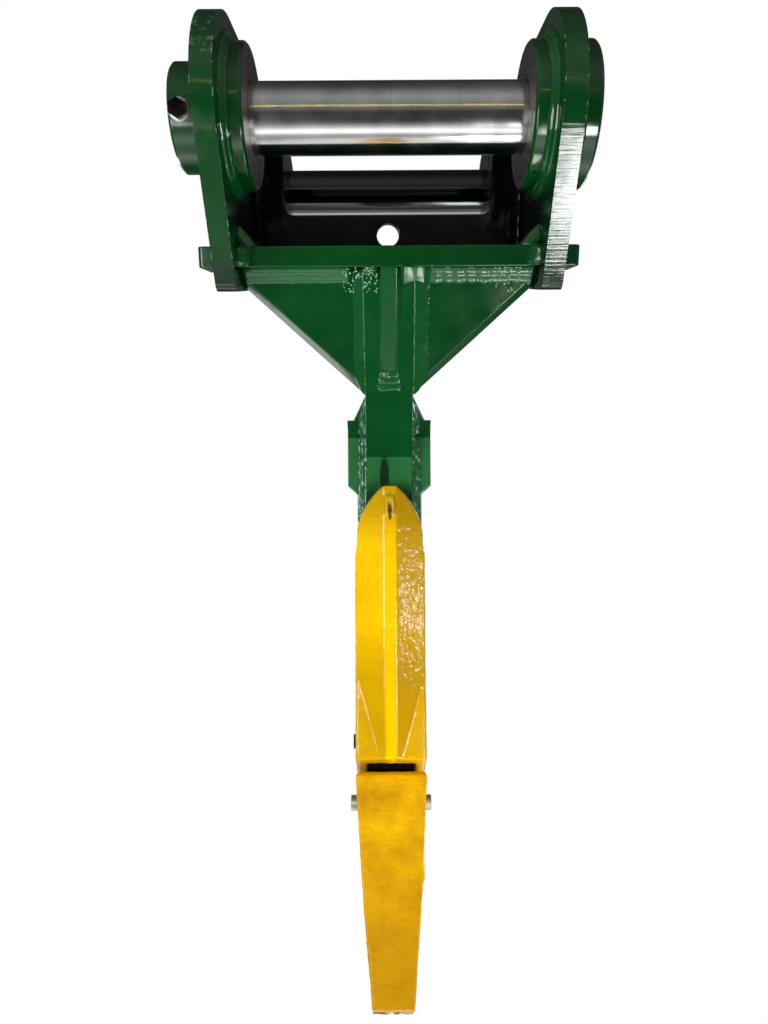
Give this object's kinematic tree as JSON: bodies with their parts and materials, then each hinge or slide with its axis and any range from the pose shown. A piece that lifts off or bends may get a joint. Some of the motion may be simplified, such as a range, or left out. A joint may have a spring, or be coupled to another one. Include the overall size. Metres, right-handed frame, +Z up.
{
  "type": "single-shank excavator ripper",
  "caption": "Pin-on ripper for an excavator: a welded headstock on pins carries a cranked shank with gussets, cheek plates, a shank protector and a replaceable tooth.",
  "frame": {"origin": "middle of the dipper pin, half way between the two dipper bosses", "axes": "+X along the pins to the right as seen from the tooth's side, +Y to the back (towards the link pin), +Z up"},
  "size_m": [0.491, 0.6435, 1.2815],
  "materials": {
    "green_enamel": "glossy green enamel on welded steel plate",
    "yellow_enamel": "yellow enamel on cast steel",
    "ground_steel": "bright ground steel",
    "plated_steel": "dark plated fasteners and pins"
  },
  "bodies": {
    "root": {"left_ear": "green_enamel", "right_ear": "green_enamel", "left_dipper_boss": "green_enamel", "right_dipper_boss": "green_enamel", "left_link_boss": "green_enamel", "right_link_boss": "green_enamel", "dipper_outer_boss": "green_enamel", "link_outer_boss": "green_enamel", "dipper_collar": "green_enamel", "link_collar": "green_enamel", "dipper_pin": "ground_steel", "link_pin": "ground_steel", "dipper_pin_bolt": "plated_steel", "link_pin_bolt": "plated_steel", "pin_washers": "ground_steel", "pin_nuts": "plated_steel", "base_plate": "green_enamel", "cross_plate": "green_enamel", "front_rib": "green_enamel", "left_gusset": "green_enamel", "right_gusset": "green_enamel", "shank": "green_enamel", "left_cheek": "green_enamel", "right_cheek": "green_enamel", "shank_protector": "yellow_enamel", "protector_pin": "plated_steel", "protector_pin_keeper": "plated_steel", "tooth": "yellow_enamel", "tooth_pin": "ground_steel", "tooth_pin_keeper": "plated_steel", "boss_welds": "green_enamel", "plate_welds": "green_enamel", "tab_welds": "green_enamel", "cross_plate_welds": "green_enamel", "gusset_welds": "green_enamel", "rib_welds": "green_enamel", "cheek_welds": "green_enamel"}
  },
  "joints": []
}
